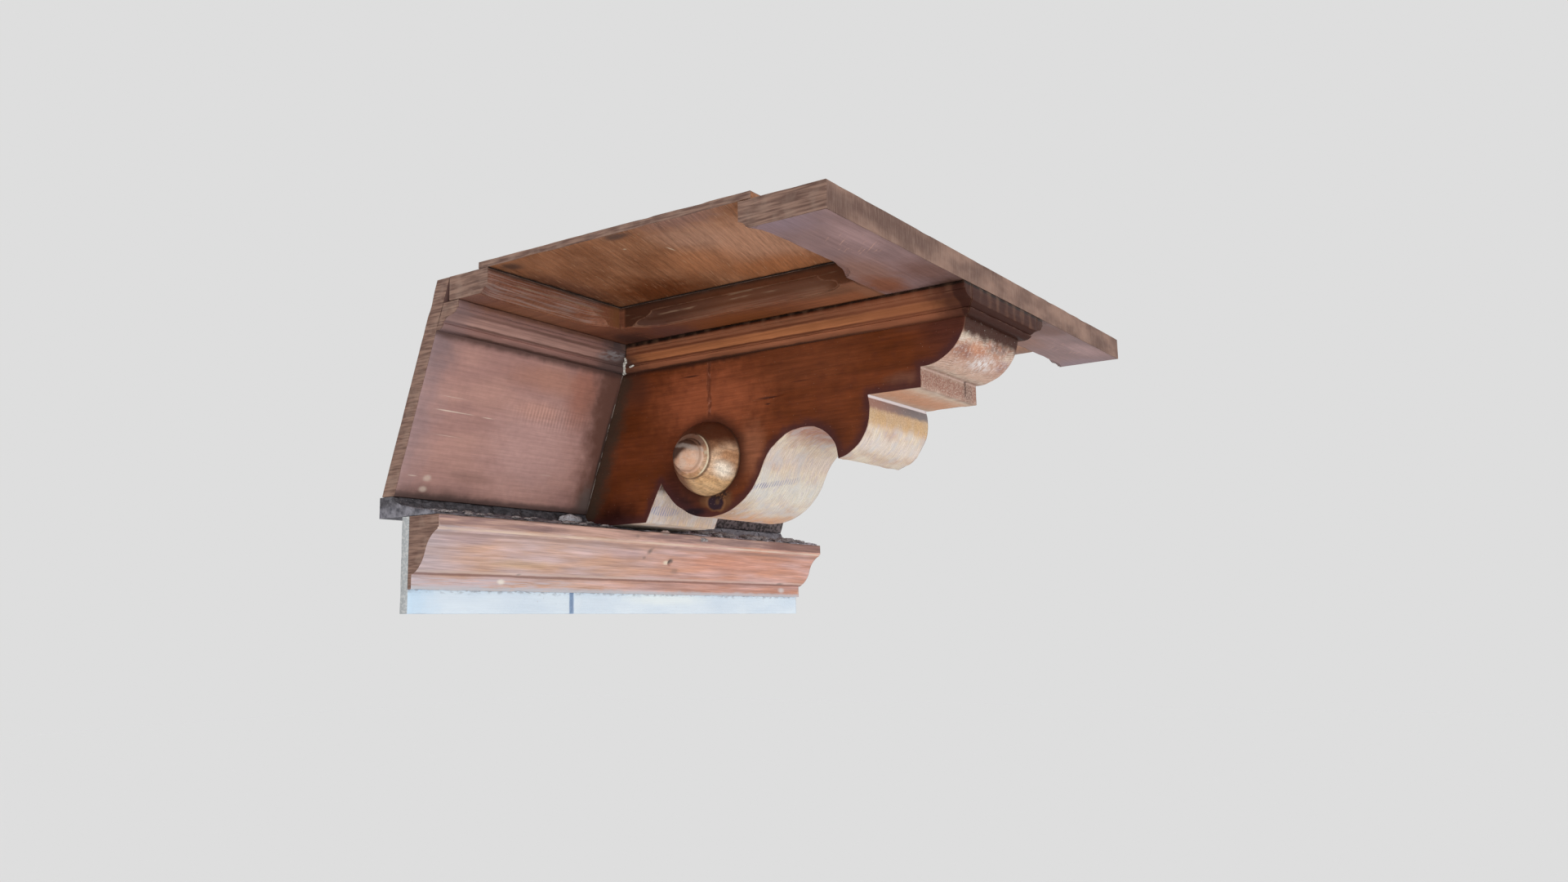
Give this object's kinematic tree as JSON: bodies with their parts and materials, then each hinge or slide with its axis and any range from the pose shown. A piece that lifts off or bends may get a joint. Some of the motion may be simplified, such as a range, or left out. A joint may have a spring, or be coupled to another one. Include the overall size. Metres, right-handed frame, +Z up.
{
  "type": "corbel",
  "caption": "Carved wooden eaves corbel with scroll, side bosses, sloping frieze boards, coffered soffit and mouldings, cut out of its cornice",
  "frame": {"origin": "centre of the flat sawn face at the corbel's back, which is built into the wall", "axes": "X along the wall, to the right for someone facing it; Y into the wall, so the corbel points along -Y; Z up"},
  "size_m": [0.794, 0.62, 0.3892],
  "materials": {
    "red_brown_varnish": "deep red-brown varnish, satin, worn to bare tan wood on the carved underside",
    "bare_turned_wood": "turned wood with the varnish worn off, ochre and tan",
    "dusky_board_varnish": "dusty purple-brown old varnish over planed boards",
    "moulding_varnish": "brown varnish, dark in the quirks, rubbed on the arrises",
    "soffit_varnish": "brown varnish, satin",
    "weathered_rail_varnish": "weathered mauve-grey varnish",
    "golden_panel_varnish": "golden umber varnish with light streaks",
    "salmon_moulding_paint": "thin salmon wash on wood, worn pale at the skirt",
    "dark_mortar": "rough charcoal mortar",
    "pale_wall_paint": "chalky pale blue wall paint",
    "blue_grey_pointing": "matt blue-grey joint filling"
  },
  "bodies": {
    "root": {"corbel": "red_brown_varnish", "turned_boss_left": "bare_turned_wood", "turned_boss_right": "bare_turned_wood", "frieze_board_left": "dusky_board_varnish", "frieze_board_right": "dusky_board_varnish", "bed_moulding_board_left": "moulding_varnish", "bed_moulding_board_right": "moulding_varnish", "bed_moulding_corbel_left": "moulding_varnish", "bed_moulding_corbel_right": "moulding_varnish", "bed_moulding_tip": "moulding_varnish", "soffit_wall_rail": "soffit_varnish", "soffit_board_over_corbel": "soffit_varnish", "soffit_outer_rail": "weathered_rail_varnish", "soffit_panel_left": "golden_panel_varnish", "soffit_panel_right": "golden_panel_varnish", "mortar_bed": "dark_mortar", "wall_moulding": "salmon_moulding_paint", "wall_facing_left": "pale_wall_paint", "wall_facing_right": "pale_wall_paint", "wall_joint_pointing": "blue_grey_pointing"}
  },
  "joints": []
}
